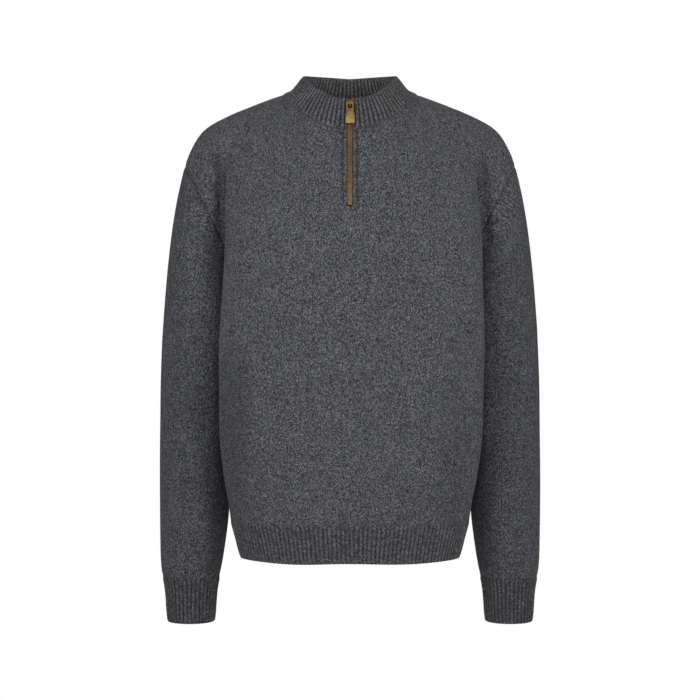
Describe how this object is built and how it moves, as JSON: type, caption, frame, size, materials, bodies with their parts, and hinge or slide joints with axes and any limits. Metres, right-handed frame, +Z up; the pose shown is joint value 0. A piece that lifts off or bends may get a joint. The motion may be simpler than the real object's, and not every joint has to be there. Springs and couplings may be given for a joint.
{
  "type": "quarter zip sweater, worn form with no wearer",
  "caption": "Knit pullover with a ribbed stand collar, a short front zip, long sleeves and ribbed hem and cuffs, kept hollow as if worn.",
  "frame": {"origin": "midway between the two points where collar, shoulder seam and neck meet, where the wearer's shoulders carry the garment", "axes": "+Z up the body, front faces -Y, wearer's right sleeve at -X"},
  "size_m": [0.5572, 0.2732, 0.799],
  "materials": {
    "body_knit": "dark grey melange jersey knit, brushed",
    "sleeve_knit": "dark grey melange jersey knit, brushed",
    "rib_knit": "dark grey melange rib knit",
    "collar_knit": "dark grey melange rib knit",
    "zip_tape": "woven zip tape",
    "zip_brass": "antique brass",
    "zip_gold": "pale gold, polished"
  },
  "bodies": {
    "sweater": {"front_panel": "body_knit", "back_panel": "body_knit", "sleeve_right": "sleeve_knit", "sleeve_left": "sleeve_knit", "cuff_right": "rib_knit", "cuff_left": "rib_knit", "hem_rib": "rib_knit", "collar": "collar_knit", "zip_tape_right": "zip_tape", "zip_tape_left": "zip_tape", "zip_teeth": "zip_brass", "zip_bottom_stop": "zip_gold", "zip_slider": "zip_gold"},
    "pull": {"zip_pull": "zip_gold"}
  },
  "joints": [
    {"name": "pull_hinge", "type": "hinge", "parent": "sweater", "child": "pull", "pos_m": [0, -0.08282, -0.01484], "axis": [-1, 0, 0], "range_deg": [0, 165]}
  ]
}
